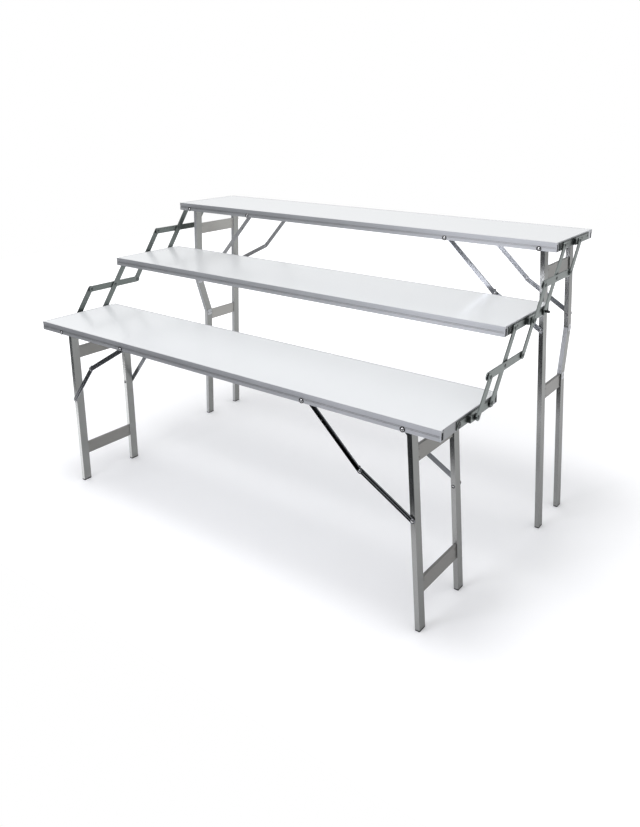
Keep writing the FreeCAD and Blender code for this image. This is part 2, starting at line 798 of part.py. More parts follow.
def rear_links(stage, shelf):
    """Rear links hang from the shelf's lug and end on the coupler."""
    bar = strap("bar_pitch", "bar_width", "bar_thick", "x", "half_length + rear_link_layer",
                "pin_radius + running_gap", "pin_radius + loose_gap")
    leaned(stage + "_rear_links", shelf, "second_pivot", bar)


# ---------------------------------------------------------------- assembly

for shelf, has_legs in (("top", True), ("middle", False), ("lower", True)):
    shelf_parts(shelf, has_legs)
    if has_legs:
        hinge_bolts(shelf)
for frame in frames:
    leg_frame(frame)
    struts(frame)
for stage, shelf in (("upper_step", "top"), ("lower_step", "middle")):
    long_bars(stage, shelf)
    couplers(stage, shelf)
    rear_links(stage, shelf)
    front_links(stage, shelf)
lock_knobs()

doc.recompute()

# ---------------------------------------------------------------- check and write

for item in doc.Objects:
    if "Invalid" in item.State or "Error" in item.State:
        raise RuntimeError("%s (%s) did not build: %s" % (item.Label, item.Name, item.State))
for item in nodes:
    if item.Shape.isNull() or not item.Shape.isValid():
        raise RuntimeError("%s has no valid shape" % item.Label)

os.makedirs("parts", exist_ok=True)
for item in nodes:
    item.Shape.exportStep("parts/%s.step" % item.Label)

box_all = Part.makeCompound([item.Shape for item in nodes]).BoundBox
print("%d nodes" % len(nodes))
print("box %.1f..%.1f  %.1f..%.1f  %.1f..%.1f" % (box_all.XMin, box_all.XMax, box_all.YMin,
                                                  box_all.YMax, box_all.ZMin, box_all.ZMax))
for name in ("bar_lean", "bar_reach", "setback", "full_depth"):
    print(name, worked_sheet.get(name))
for frame in frames:
    print(frame, [worked_sheet.get(frame + "_" + name)
                  for name in ("upper_arm", "lower_arm", "upper_dip", "lower_dip")])
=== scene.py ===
import bpy
import json
import math
from mathutils import Matrix, Vector


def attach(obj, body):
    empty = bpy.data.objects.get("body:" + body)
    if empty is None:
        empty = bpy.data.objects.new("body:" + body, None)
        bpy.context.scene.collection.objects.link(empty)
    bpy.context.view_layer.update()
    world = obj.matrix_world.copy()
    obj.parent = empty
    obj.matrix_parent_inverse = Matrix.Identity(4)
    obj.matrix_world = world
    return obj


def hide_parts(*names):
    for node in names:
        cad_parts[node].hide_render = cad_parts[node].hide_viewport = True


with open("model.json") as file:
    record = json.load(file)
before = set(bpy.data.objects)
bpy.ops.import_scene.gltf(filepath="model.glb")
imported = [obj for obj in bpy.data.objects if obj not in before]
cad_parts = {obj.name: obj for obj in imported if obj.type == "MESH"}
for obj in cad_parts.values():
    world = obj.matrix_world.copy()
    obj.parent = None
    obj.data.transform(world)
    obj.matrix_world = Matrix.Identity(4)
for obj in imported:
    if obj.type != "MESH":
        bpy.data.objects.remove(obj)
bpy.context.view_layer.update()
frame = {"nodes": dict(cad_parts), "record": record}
nodes = frame["nodes"]
print("frame loaded:", len(nodes), "CAD nodes")

even = (1, 1, 1)  # the stretch of a pattern that is the same in all directions
soft, fine = 2.0, 3.0  # how many finer layers a noise pattern has


class Wire:
    # a shader socket that can be used in sums
    def __init__(self, graph, socket):
        self.graph = graph
        self.socket = socket

    def calculate(self, operation, first, second):
        return self.graph.node("ShaderNodeMath", {"operation": operation}, {0: first, 1: second})

    def __add__(self, other):
        return self.calculate("ADD", self, other)

    def __mul__(self, other):
        return self.calculate("MULTIPLY", self, other)

    __radd__ = __add__
    __rmul__ = __mul__


class Graph:
    # a node tree, built node by node
    def __init__(self, tree):
        self.tree = tree
        self.tree.nodes.clear()

    def node(self, kind, settings, sockets, output=0):
        made = self.tree.nodes.new(kind)
        for name, setting in settings.items():
            setattr(made, name, setting)
        self.fill(made, sockets)
        return Wire(self, made.outputs[output])

    def fill(self, made, sockets):
        for name, content in sockets.items():
            if isinstance(content, Wire):
                self.tree.links.new(content.socket, made.inputs[name])
            else:
                made.inputs[name].default_value = content

    def blend(self, amount, low, high):
        return self.node("ShaderNodeMix", {"data_type": "RGBA"},
                         {0: amount, 6: low, 7: high}, 2)

    def spread(self, wire, low, high, start=0.0, end=1.0, kind="LINEAR"):
        # stretches a value's range start..end onto low..high
        return self.node("ShaderNodeMapRange", {"interpolation_type": kind},
                         {"Value": wire, "From Min": start, "From Max": end,
                          "To Min": low, "To Max": high})


class Finish(Graph):
    # one material with a principled shader
    def __init__(self, name):
        self.material = bpy.data.materials.new(name)
        self.material.use_nodes = True
        super().__init__(self.material.node_tree)
        self.shader = self.tree.nodes.new("ShaderNodeBsdfPrincipled")
        output = self.tree.nodes.new("ShaderNodeOutputMaterial")
        self.tree.links.new(self.shader.outputs[0], output.inputs["Surface"])

    def place(self, stretch=even):
        coordinates = self.node("ShaderNodeTexCoord", {}, {}, "Object")
        return self.node("ShaderNodeMapping", {}, {"Vector": coordinates, "Scale": stretch})

    def noise(self, stretch, scale, detail, roughness=0.5):
        return self.node("ShaderNodeTexNoise", {},
                         {"Vector": self.place(stretch), "Scale": scale, "Detail": detail,
                          "Roughness": roughness})

    def bump(self, height, strength, distance):
        normal = self.node("ShaderNodeBump", {},
                           {"Height": height, "Strength": strength, "Distance": distance})
        self.fill(self.shader, {"Normal": normal})

    def finished(self, **sockets):
        self.fill(self.shader, {name.replace("_", " "): content for name, content in sockets.items()})
        return self.material


def tint(red, green, blue):
    return (red, green, blue, 1.0)


# finishes: a look for each material, then the function that makes it
laminateLook = {"shade": (0.793, 0.806, 0.811), "cloud": (0.803, 0.816, 0.82), "cloudScale": 2.4,
                "rough": 0.25, "roughSway": 0.01, "grain": 900.0, "grainStrength": 0.05,
                "relief": 0.0002, "density": 1.46, "coat": 0.2, "coatRough": 0.12}


def makeLaminate():
    finish = Finish("whiteLaminate")
    rough, sway = laminateLook["rough"], laminateLook["roughSway"]
    cloud = finish.noise(even, laminateLook["cloudScale"], soft)
    grain = finish.noise(even, laminateLook["grain"], soft)
    finish.bump(grain, laminateLook["grainStrength"], laminateLook["relief"])
    return finish.finished(
        Base_Color=finish.blend(cloud, tint(*laminateLook["shade"]), tint(*laminateLook["cloud"])),
        Roughness=finish.spread(cloud, rough - sway, rough + sway), IOR=laminateLook["density"],
        Coat_Weight=laminateLook["coat"], Coat_Roughness=laminateLook["coatRough"])


# streaks run along each profile's own length; "spread" pulls the reflections out into a
# stripe, and a "turn" of a quarter stands that stripe upright
metalLooks = {
    "rimAluminium": {
        "dark": (0.44, 0.45, 0.465), "light": (0.58, 0.59, 0.61), "rough": 0.5, "metal": 0.7,
        "streak": (1.5, 500, 500), "relief": 0.0001, "spread": 0.75, "turn": 0.25},
    "legAluminium": {
        "dark": (0.4, 0.404, 0.395), "light": (0.53, 0.534, 0.525), "rough": 0.22, "metal": 1.0,
        "streak": (500, 500, 1.5), "relief": 0.00004, "spread": 0.4, "turn": 0.0},
    "satinAluminium": {
        "dark": (0.44, 0.445, 0.45), "light": (0.58, 0.585, 0.59), "rough": 0.48, "metal": 0.6,
        "streak": (500, 500, 1.5), "relief": 0.00006, "spread": 0.5, "turn": 0.0},
    # painted shade: a darker copy of the leg metal for the wide faces of the leg tubes
    "legSideAluminium": {
        "dark": (0.21, 0.214, 0.206), "light": (0.29, 0.294, 0.285), "rough": 0.36, "metal": 1.0,
        "streak": (500, 500, 1.5), "relief": 0.00005, "spread": 0.4, "turn": 0.0},
    "railSteel": {
        "dark": (0.2, 0.197, 0.187), "light": (0.27, 0.266, 0.254), "rough": 0.4, "metal": 0.95,
        "streak": (500, 1.5, 500), "relief": 0.00004, "spread": 0.6, "turn": 0.25},
    "strutSteel": {
        "dark": (0.27, 0.28, 0.295), "light": (0.38, 0.39, 0.41), "rough": 0.24, "metal": 1.0,
        "streak": (160, 160, 160), "relief": 0.000008, "spread": 0.0, "turn": 0.0},
    "zincSteel": {
        "dark": (0.12, 0.137, 0.13), "light": (0.19, 0.21, 0.202), "rough": 0.36, "metal": 0.95,
        "streak": (120, 120, 120), "relief": 0.00004, "spread": 0.3, "turn": 0.0},
    "pivotSteel": {
        "dark": (0.06, 0.066, 0.065), "light": (0.14, 0.15, 0.148), "rough": 0.3, "metal": 1.0,
        "streak": (160, 160, 160), "relief": 0.00003, "spread": 0.0, "turn": 0.0},
    "brightSteel": {
        "dark": (0.34, 0.34, 0.34), "light": (0.62, 0.62, 0.63), "rough": 0.12, "metal": 1.0,
        "streak": (160, 160, 160), "relief": 0.00002, "spread": 0.0, "turn": 0.0},
}

# how the streaks and patches of any metal vary, and how far they sway its roughness
metalWear = {"streakRough": 0.6, "patches": 7.0, "sway": 0.06, "calm": 0.6, "worn": 1.4}


# a shade other than 1 makes a lighter or darker painted copy of the look, standing in for the light on
# one assembly, with that assembly's name added to the material's
def makeMetal(name, shade=1.0, paintedLightGroup=""):
    look = metalLooks[name]
    finish = Finish(name + paintedLightGroup)
    streak = finish.noise(look["streak"], 1.0, fine, metalWear["streakRough"])
    patch = finish.noise(even, metalWear["patches"], soft)
    dark, light = [tint(*[part * shade for part in look[key]]) for key in ("dark", "light")]
    color = finish.blend(streak * 0.5 + patch * 0.5, dark, light)
    finish.bump(streak, 1.0, look["relief"])
    rough = finish.spread(streak + patch, look["rough"] - metalWear["sway"],
                          look["rough"] + metalWear["sway"], metalWear["calm"], metalWear["worn"])
    return finish.finished(Base_Color=color, Metallic=look["metal"], Roughness=rough,
                           Anisotropic=look["spread"], Anisotropic_Rotation=look["turn"])


plasticLooks = {
    "blackPlastic": {"dark": (0.006, 0.006, 0.007), "light": (0.016, 0.016, 0.018),
                     "smooth": 0.54, "rough": 0.72, "grain": 700},
    "blackNylon": {"dark": (0.006, 0.007, 0.007), "light": (0.014, 0.015, 0.016),
                   "smooth": 0.34, "rough": 0.52, "grain": 420},
}
plasticWear = {"strength": 0.25, "relief": 0.0003, "shine": 0.25}


def makePlastic(name):
    look = plasticLooks[name]
    finish = Finish(name)
    grain = finish.noise(even, look["grain"], fine)
    finish.bump(grain, plasticWear["strength"], plasticWear["relief"])
    return finish.finished(
        Base_Color=finish.blend(grain, tint(*look["dark"]), tint(*look["light"])),
        Roughness=finish.spread(grain, look["smooth"], look["rough"]),
        Specular_IOR_Level=plasticWear["shine"])


finishes = {name: makeMetal(name) for name in metalLooks}
finishes.update({name: makePlastic(name) for name in plasticLooks})
finishes["whiteLaminate"] = makeLaminate()

# painted light and shade: lit and shaded copies of the metals, lighter or darker than their look in the
# pieces whose names start so, standing in for how the light falls on each assembly
paintedLightShades = {
    "lower_left": {"legAluminium": 1.4, "legSideAluminium": 1.1, "railSteel": 1.1, "strutSteel": 1.1},
    "lower_right": {"legAluminium": 0.65, "legSideAluminium": 0.85, "railSteel": 0.9, "strutSteel": 0.55},
    "top_left": {"legAluminium": 1.0, "legSideAluminium": 1.05, "railSteel": 1.5, "strutSteel": 0.75},
    "top_right": {"legAluminium": 0.6, "legSideAluminium": 0.85, "railSteel": 0.85, "strutSteel": 1.1},
    "lower_end_rims": {"rimAluminium": 0.6},
}
# painted light: on that assembly these two get the lighter satin look, standing in for the light that
# falls on them
paintedLightSatin = {"top_left": ("legAluminium", "strutSteel")}  # these two are satin there
for paintedLightGroup, shades in paintedLightShades.items():
    for metal, shade in shades.items():
        look = "satinAluminium" if metal in paintedLightSatin.get(paintedLightGroup, ()) else metal
        finishes[metal + paintedLightGroup] = makeMetal(look, shade, paintedLightGroup)

# the record's slot of each node names its finish
slotFinish = {
    "laminate": "whiteLaminate",
    "rim_aluminium": "rimAluminium",
    "leg_aluminium": "legAluminium",
    "rail_steel": "railSteel",
    "strut_steel": "strutSteel",
    "zinc_steel": "zincSteel",
    "bright_steel": "brightSteel",
    "pivot_steel": "pivotSteel",
    "black_plastic": "blackPlastic",
    "black_nylon": "blackNylon",
}


def finishFor(name, slotName):
    # a piece's finish: its slot's, or the painted lit or shaded copy of it made for the piece's assembly
    for paintedLightGroup in paintedLightShades:
        if name.startswith(paintedLightGroup) and slotFinish[slotName] in paintedLightShades[paintedLightGroup]:
            return finishes[slotFinish[slotName] + paintedLightGroup]
    return finishes[slotFinish[slotName]]


slotOf = {entry["node"]: entry["material_slot"] for entry in frame["record"]["subparts"]}
bodies = frame["record"]["behaviour"]["bodies"]
bodyOf = {node: body for body, members in bodies.items() for node in members}
for name, node in nodes.items():
    node.data.materials.clear()
    node.data.materials.append(finishFor(name, slotOf[name]))
print("finishes made:", len(finishes))


# CAD pieces with eased edges: the width of the rounding by the end of a node's name
easedEdges = {
    "_long_rims": 0.0005, "_end_rims": 0.0005, "_panel": 0.0006, "_end_plates": 0.0006,
    "_legs": 0.0014, "_cross_rails": 0.0008, "_foot_caps": 0.0012,
    "_upper_arms": 0.0007, "_lower_arms": 0.0007,
    "_long_bars": 0.0007, "_couplers": 0.0007, "_rear_links": 0.0007, "_front_links": 0.0007,
    "_lock_knobs": 0.0009,
}
edgeStyle = {"steps": 2, "sharp": 40, "merge": 0.00002, "flat": 1, "weight": 100}
squarely = 0.9  # how much of a face's normal lies along an axis before it counts as facing it


def pickFaces(item, wanted):
    # leaves edit mode on, with only the wanted faces selected
    bpy.ops.object.mode_set(mode="EDIT")
    bpy.ops.mesh.select_mode(type="FACE")
    bpy.ops.mesh.select_all(action="DESELECT")
    bpy.ops.object.mode_set(mode="OBJECT")
    for face in item.data.polygons:
        face.select = wanted(face)
    bpy.ops.object.mode_set(mode="EDIT")


def sinkFaces(item, wanted, lip, depth):
    # lowers the wanted faces inside a lip
    pickFaces(item, wanted)
    bpy.ops.mesh.inset(thickness=lip)
    bpy.ops.transform.shrink_fatten(value=-depth)
    bpy.ops.object.mode_set(mode="OBJECT")


def roundEdges(item, width, segments, sharp, carve=None):
    # rounds the item's edges, carves it, and keeps its flat faces flat to the light
    bpy.ops.object.select_all(action="DESELECT")
    item.select_set(True)
    bpy.context.view_layer.objects.active = item
    bevel = item.modifiers.new("Rounded", "BEVEL")
    bevel.width = width
    bevel.segments = segments
    bevel.limit_method = "ANGLE"
    bevel.angle_limit = math.radians(sharp)
    bpy.ops.object.modifier_apply(modifier="Rounded")
    if carve:
        carve(item)
    bpy.ops.object.shade_smooth_by_angle(angle=math.radians(sharp))
    flat = item.modifiers.new("Flat", "WEIGHTED_NORMAL")
    flat.weight = edgeStyle["weight"]
    flat.keep_sharp = True
    bpy.ops.object.modifier_apply(modifier="Flat")
    return item


# shallow channels pressed into the struts and the webs of the cross rails
armChannel = {"lip": 0.0022, "depth": 0.0007, "least": 0.0006}
railChannel = {"lip": 0.0035, "depth": 0.0009, "least": 0.004}


def carveArms(item):
    middle = sum(corner.co.y for corner in item.data.vertices) / len(item.data.vertices)
    sinkFaces(item, lambda face: face.normal.y * (1 if face.center.y > middle else -1) > squarely
              and face.area > armChannel["least"], armChannel["lip"], armChannel["depth"])


def carveRails(item):
    sinkFaces(item, lambda face: face.normal.x > squarely and face.area > railChannel["least"],
              railChannel["lip"], railChannel["depth"])


# which leg faces get the painted shade and which the painted highlight, by the slope of their normals
legPaintedLight = {"wideFrom": 0.7, "slantFrom": 0.2, "slantTo": 0.5}


def paintLegFaceLight(item):
    # painted shade and highlight: the wide faces of the leg tubes get a rougher copy of the metal whose
    # darker colour is painted shade, and the slanted stretch of a cranked leg gets the lighter rim metal
    # as a painted highlight
    item.data.materials.append(finishes["legSideAluminium" + item.name[:-len("_legs_eased")]])
    item.data.materials.append(finishes["rimAluminium"])
    for face in item.data.polygons:
        if abs(face.normal.x) > legPaintedLight["wideFrom"]:
            face.material_index = 1
        elif legPaintedLight["slantFrom"] < abs(face.normal.z) < legPaintedLight["slantTo"]:
            face.material_index = 2


carvedNodes = {"_upper_arms": carveArms, "_lower_arms": carveArms, "_cross_rails": carveRails,
               "_legs": paintLegFaceLight}


def easeEdges(name, width, carve):
    # a copy of the node, its flat faces made whole and its edges rounded
    bpy.ops.object.select_all(action="DESELECT")
    copy = nodes[name].copy()
    copy.data = nodes[name].data.copy()
    copy.name = name + "_eased"
    copy.parent = None
    bpy.context.scene.collection.objects.link(copy)
    copy.select_set(True)
    bpy.context.view_layer.objects.active = copy
    bpy.ops.object.mode_set(mode="EDIT")
    bpy.ops.mesh.select_all(action="SELECT")
    bpy.ops.mesh.remove_doubles(threshold=edgeStyle["merge"])
    bpy.ops.mesh.dissolve_limited(angle_limit=math.radians(edgeStyle["flat"]))
    bpy.ops.object.mode_set(mode="OBJECT")
    roundEdges(copy, width, edgeStyle["steps"], edgeStyle["sharp"], carve)
    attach(copy, bodyOf[name])
    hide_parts(name)


for name in sorted(nodes):
    for ending, width in easedEdges.items():
        if name.endswith(ending):
            easeEdges(name, width, carvedNodes.get(ending))
print("edges eased")


# small fittings: one model each, then copies in place
shelves = ("lower", "middle", "top")
halves = (-0.5, 0.5)  # steps to the two sides of a middle
joints = {joint["name"]: joint for joint in frame["record"]["behaviour"]["joints"]}
frameNames = [name[:-len("_leg_fold")] for name in sorted(joints) if name.endswith("_leg_fold")]


def extent(points):
    # the lowest and the highest corner of the points
    return (Vector([min(point[axis] for point in points) for axis in range(3)]),
            Vector([max(point[axis] for point in points) for axis in range(3)]))


def corners(name):
    item = nodes[name]
    return extent([item.matrix_world @ vertex.co for vertex in item.data.vertices])


fitting = {"buttonSides": 20, "buttonRound": 0.35, "dimpleDepth": 0.6, "ringSides": 28,
           "plateRound": 0.3, "roundSteps": 3, "slabSteps": 2, "cornerSteps": 5, "sharp": 35}


def solid(kind, **settings):
    bpy.ops.object.select_all(action="DESELECT")
    getattr(bpy.ops.mesh, "primitive_%s_add" % kind)(**settings)
    item = bpy.context.object
    bpy.ops.object.transform_apply(location=True, rotation=True, scale=True)
    return item


def button(radius, height, dimple=0.0):
    # a round head that stands on the XY plane, with a dimple of the given radius
    item = solid("cylinder", vertices=fitting["buttonSides"], radius=radius, depth=height,
                 location=(0, 0, height / 2))
    if dimple:
        pickFaces(item, lambda face: face.normal.z > squarely)
        bpy.ops.mesh.inset(thickness=radius - dimple)
        bpy.ops.transform.translate(value=(0, 0, -height * fitting["dimpleDepth"]))
        bpy.ops.object.mode_set(mode="OBJECT")
    return roundEdges(item, height * fitting["buttonRound"], fitting["roundSteps"], fitting["sharp"])


def washer(outer, inner, height):
    # a flat ring with round edges on the XY plane
    item = solid("cylinder", vertices=fitting["ringSides"], radius=outer, depth=height,
                 location=(0, 0, height / 2))
    pickFaces(item, lambda face: abs(face.normal.z) > squarely)
    bpy.ops.mesh.inset(thickness=outer - inner, use_individual=True)
    bpy.ops.mesh.bridge_edge_loops()
    bpy.ops.object.mode_set(mode="OBJECT")
    return roundEdges(item, height * fitting["plateRound"], fitting["roundSteps"], fitting["sharp"])


def slab(length, width, height, corner):
    # a plate on the XY plane with rounded corners, long side along X
    item = solid("cube", size=1.0, scale=(length, width, height), location=(0, 0, height / 2))
    bpy.ops.object.mode_set(mode="EDIT")
    bpy.ops.mesh.select_all(action="DESELECT")
    bpy.ops.mesh.select_mode(type="EDGE")
    bpy.ops.object.mode_set(mode="OBJECT")
    for edge in item.data.edges:
        first, second = [item.data.vertices[index].co for index in edge.vertices]
        edge.select = abs(first.z - second.z) > height / 2
    bpy.ops.object.mode_set(mode="EDIT")
    bpy.ops.mesh.bevel(offset=corner, segments=fitting["cornerSteps"])
    bpy.ops.object.mode_set(mode="OBJECT")
    return roundEdges(item, height * fitting["plateRound"], fitting["slabSteps"], fitting["sharp"])


def copies(name, source, places, body, slotName):
    # one piece out of copies of the source, each with its own mesh moved to its place
    made = []
    for place in places:
        copy = source.copy()
        copy.data = source.data.copy()
        copy.data.transform(place)
        bpy.context.scene.collection.objects.link(copy)
        made.append(copy)
    bpy.ops.object.select_all(action="DESELECT")
    for copy in made:
        copy.select_set(True)
    bpy.context.view_layer.objects.active = made[0]
    bpy.ops.object.join()
    piece = bpy.context.object
    piece.name = name
    piece.data.name = name
    piece.data.materials.clear()
    piece.data.materials.append(finishFor(name, slotName))
    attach(piece, body)


def discard(*items):
    for item in items:
        bpy.data.objects.remove(item)


def facing(point, direction, turn=0.0):
    # stands a fitting at a point with its Z axis along the direction
    aim = Vector(direction).to_track_quat("Z", "X").to_matrix().to_4x4()
    return Matrix.Translation(point) @ aim @ Matrix.Rotation(turn, 4, "Z")


# dark washers round the bolt heads of the rims; they also stand in as painted shadow for the gap under
# each head
rimWasher = {"outer": 0.0098, "inner": 0.0062, "height": 0.0012}


def addRimWashers():
    source = washer(rimWasher["outer"], rimWasher["inner"], rimWasher["height"])
    for shelf in ("lower", "top"):
        low, high = corners(shelf + "_long_rims")
        places = []
        for name in frameNames:
            if name.startswith(shelf):
                for ending in ("_leg_fold", "_upper_arm_pivot"):
                    x, y, z = joints[name + ending]["pos_m"]
                    places.append(facing((x, low.y, z), (0, -1, 0)))
                    places.append(facing((x, high.y, z), (0, 1, 0)))
        copies(shelf + "RimWashers", source, places, shelf + "_table", "black_nylon")
    discard(source)


addRimWashers()


# tabs and rivets that hold the cross rails
railTab = {"width": 0.014, "height": 0.044, "thick": 0.0011, "corner": 0.004,
           "rivet": 0.0025, "rivetHeight": 0.0013, "rivetDimple": 0.4, "rivetGap": 0.028}


class LegFrame:
    # measures of one leg frame in its own axes: hinge at the origin, legs down along -Z
    def __init__(self, name):
        fold = joints[name + "_leg_fold"]
        self.name = name
        self.body = name + "_leg_frame"
        lean = math.radians(fold["range_deg"][1] - 90)
        lean *= -fold["axis"][1]
        self.place = Matrix.Translation(fold["pos_m"]) @ Matrix.Rotation(lean, 4, "Y")
        self.back = self.place.inverted()
        points = self.local(name + "_cross_rails")
        middle = (min(point.z for point in points) + max(point.z for point in points)) / 2
        self.rails = [extent([point for point in points if (point.z > middle) == upper])
                      for upper in (True, False)]
        self.legs = extent(self.local(name + "_legs"))
        self.legDepth = self.rails[0][0].y - self.legs[0].y

    def local(self, node):
        item = nodes[node]
        return [self.back @ (item.matrix_world @ vertex.co) for vertex in item.data.vertices]

    def at(self, point, direction, turn=0.0):
        return self.place @ facing(point, direction, turn)


legFrames = {name: LegFrame(name) for name in frameNames}


def addRailFixings():
    tab = slab(railTab["height"], railTab["width"], railTab["thick"], railTab["corner"])
    rivet = button(railTab["rivet"], railTab["rivetHeight"],
                   railTab["rivet"] * railTab["rivetDimple"])
    for unit in legFrames.values():
        tabs, rivets = [], []
        for low, high in unit.rails:
            middle = (low.z + high.z) / 2
            near = low.y + railTab["width"] / 2
            far = high.y - railTab["width"] / 2
            tabs.append(unit.at((high.x, near, middle), (1, 0, 0)))
            for step in halves:
                height = middle + step * railTab["rivetGap"]
                rivets.append(unit.at((high.x + railTab["thick"], near, height), (1, 0, 0)))
                rivets.append(unit.at((high.x, far, height), (1, 0, 0)))
        copies(unit.name + "RailTabs", tab, tabs, unit.body, "rail_steel")
        copies(unit.name + "RailRivets", rivet, rivets, unit.body, "rail_steel")
    discard(tab, rivet)


addRailFixings()


# struts: rivet tails with collars in the legs, stop pins on the upper arms, catches over the elbows
strutTrim = {"pinDrop": 0.327, "tail": 0.0042, "tailHeight": 0.0015, "tailDimple": 0.45,
             "collar": 0.0066, "collarHeight": 0.0007, "collarGap": 0.0002,
             "stop": 0.0026, "stopHeight": 0.0012, "stopAlong": 0.3, "stopBelow": 0.005,
             "catchLength": 0.013, "catchWidth": 0.009, "catchThick": 0.0014, "catchCorner": 0.003,
             "catchBack": 0.003, "catchRise": 0.0115}


def addStrutTrim():
    tail = button(strutTrim["tail"], strutTrim["tailHeight"],
                  strutTrim["tail"] * strutTrim["tailDimple"])
    stop = button(strutTrim["stop"], strutTrim["stopHeight"])
    catch = slab(strutTrim["catchLength"], strutTrim["catchWidth"], strutTrim["catchThick"],
                 strutTrim["catchCorner"])
    collar = washer(strutTrim["collar"], strutTrim["tail"] + strutTrim["collarGap"],
                    strutTrim["collarHeight"])
    for name, unit in legFrames.items():
        low, high = unit.rails[0]
        tails = [unit.at((0, low.y, -strutTrim["pinDrop"]), (0, 1, 0)),
                 unit.at((0, high.y, -strutTrim["pinDrop"]), (0, -1, 0))]
        copies(name + "PinTails", tail, tails, unit.body, "bright_steel")
        copies(name + "PinCollars", collar, tails, unit.body, "black_nylon")

        start = Vector(joints[name + "_upper_arm_pivot"]["pos_m"])
        elbow = Vector(joints[name + "_elbow"]["pos_m"])
        along = (elbow - start).normalized()
        below = Vector((along.z, 0, -along.x))
        below *= -1 if below.z > 0 else 1
        place = start.lerp(elbow, strutTrim["stopAlong"]) + below * strutTrim["stopBelow"]
        upperLow, upperHigh = corners(name + "_upper_arms")
        stops = [facing((place.x, upperLow.y, place.z), (0, -1, 0)),
                 facing((place.x, upperHigh.y, place.z), (0, 1, 0))]
        copies(name + "StopPins", stop, stops, name + "_upper_arm", "bright_steel")

        lowerLow, lowerHigh = corners(name + "_lower_arms")
        side = 1 if elbow.x > 0 else -1
        x, z = elbow.x - side * strutTrim["catchBack"], elbow.z + strutTrim["catchRise"]
        catches = [facing((x, lowerLow.y, z), (0, -1, 0)), facing((x, lowerHigh.y, z), (0, 1, 0))]
        copies(name + "ElbowCatches", catch, catches, name + "_lower_arm", "leg_aluminium")
    discard(tail, stop, catch, collar)


addStrutTrim()


# clamp plates and bolts on the slanted stretches of the cranked legs
legClamp = {"bendStart": 0.388, "bendRun": 0.184, "bendShift": 0.065, "centres": (0.411, 0.546),
            "length": 0.038, "width": 0.0165, "thick": 0.0009, "corner": 0.006, "bolt": 0.0036,
            "boltHeight": 0.0022, "boltDimple": 0.5, "boltGap": 0.017}
crankedLegs = {"top_left": "front", "top_right": "rear"}


def addLegClamps():
    plate = slab(legClamp["length"], legClamp["width"], legClamp["thick"], legClamp["corner"])
    bolt = button(legClamp["bolt"], legClamp["boltHeight"],
                  legClamp["bolt"] * legClamp["boltDimple"])
    slant = math.atan2(legClamp["bendShift"], legClamp["bendRun"])
    for name, row in crankedLegs.items():
        unit = legFrames[name]
        low, high = unit.rails[0]
        face, inward = (low.y - unit.legDepth, 1) if row == "front" else (high.y, -1)
        outward = Vector((0, -math.cos(slant), -inward * math.sin(slant)))
        down = Vector((0, inward * math.sin(slant), -math.cos(slant)))
        start = Vector((0, face, -legClamp["bendStart"]))
        plates, bolts = [], []
        for centre in legClamp["centres"]:
            middle = start + down * (centre - legClamp["bendStart"]) / math.cos(slant)
            plates.append(unit.at(middle, outward))
            for step in halves:
                spot = middle + down * step * legClamp["boltGap"] + outward * legClamp["thick"]
                bolts.append(unit.at(spot, outward))
        copies(name + "LegClamps", plate, plates, unit.body, "rim_aluminium")
        copies(name + "ClampBolts", bolt, bolts, unit.body, "bright_steel")
    discard(plate, bolt)


addLegClamps()


# crimped cheeks over the bends of the cranked legs, each with two pressed slots drawn as thin dark
# plates, painted shade standing in for the hollow of each slot
legCheek = {"bends": (0.385, 0.578), "height": 0.03, "width": 0.033, "thick": 0.0011, "corner": 0.009,
            "slotLength": 0.009, "slotWidth": 0.0022, "slotThick": 0.0005, "slotCorner": 0.001,
            "slotGap": 0.02}


def addLegCheeks():
    cheek = slab(legCheek["height"], legCheek["width"], legCheek["thick"], legCheek["corner"])
    slot = slab(legCheek["slotLength"], legCheek["slotWidth"], legCheek["slotThick"],
                legCheek["slotCorner"])
    for name, row in crankedLegs.items():
        unit = legFrames[name]
        low, high = unit.rails[0]
        half = unit.legDepth / 2
        centre, inward = (low.y - half, 1) if row == "front" else (high.y + half, -1)
        cheeks, slots = [], []
        for bend, shift in zip(legCheek["bends"], (0, legClamp["bendShift"])):
            y = centre + inward * shift
            for x, out in ((unit.legs[0].x, -1), (unit.legs[1].x, 1)):
                cheeks.append(unit.at((x, y, -bend), (out, 0, 0)))
                for step in halves:
                    spot = (x + out * legCheek["thick"], y + step * legCheek["slotGap"], -bend)
                    slots.append(unit.at(spot, (out, 0, 0)))
        copies(name + "LegCheeks", cheek, cheeks, unit.body, "rim_aluminium")
        copies(name + "CheekSlots", slot, slots, unit.body, "pivot_steel")
    discard(cheek, slot)


addLegCheeks()


# dark washers under the first bolts of the end plates, dark discs in their heads as painted shade for the
# sockets, and a dark strip along the plates' tops as painted shade for the seam there
plateTrim = {"plate": 0.003, "boltAlong": 0.014, "boltDown": 0.014, "boltHead": 0.008,
             "headHeight": 0.0022, "washer": 0.0112, "washerHeight": 0.001, "washerGap": 0.0003,
             "socket": 0.004, "socketHeight": 0.00015, "seam": 0.0022, "seamDown": 0.0022,
             "seamEnd": 0.008, "seamThick": 0.0005, "seamCorner": 0.0008}


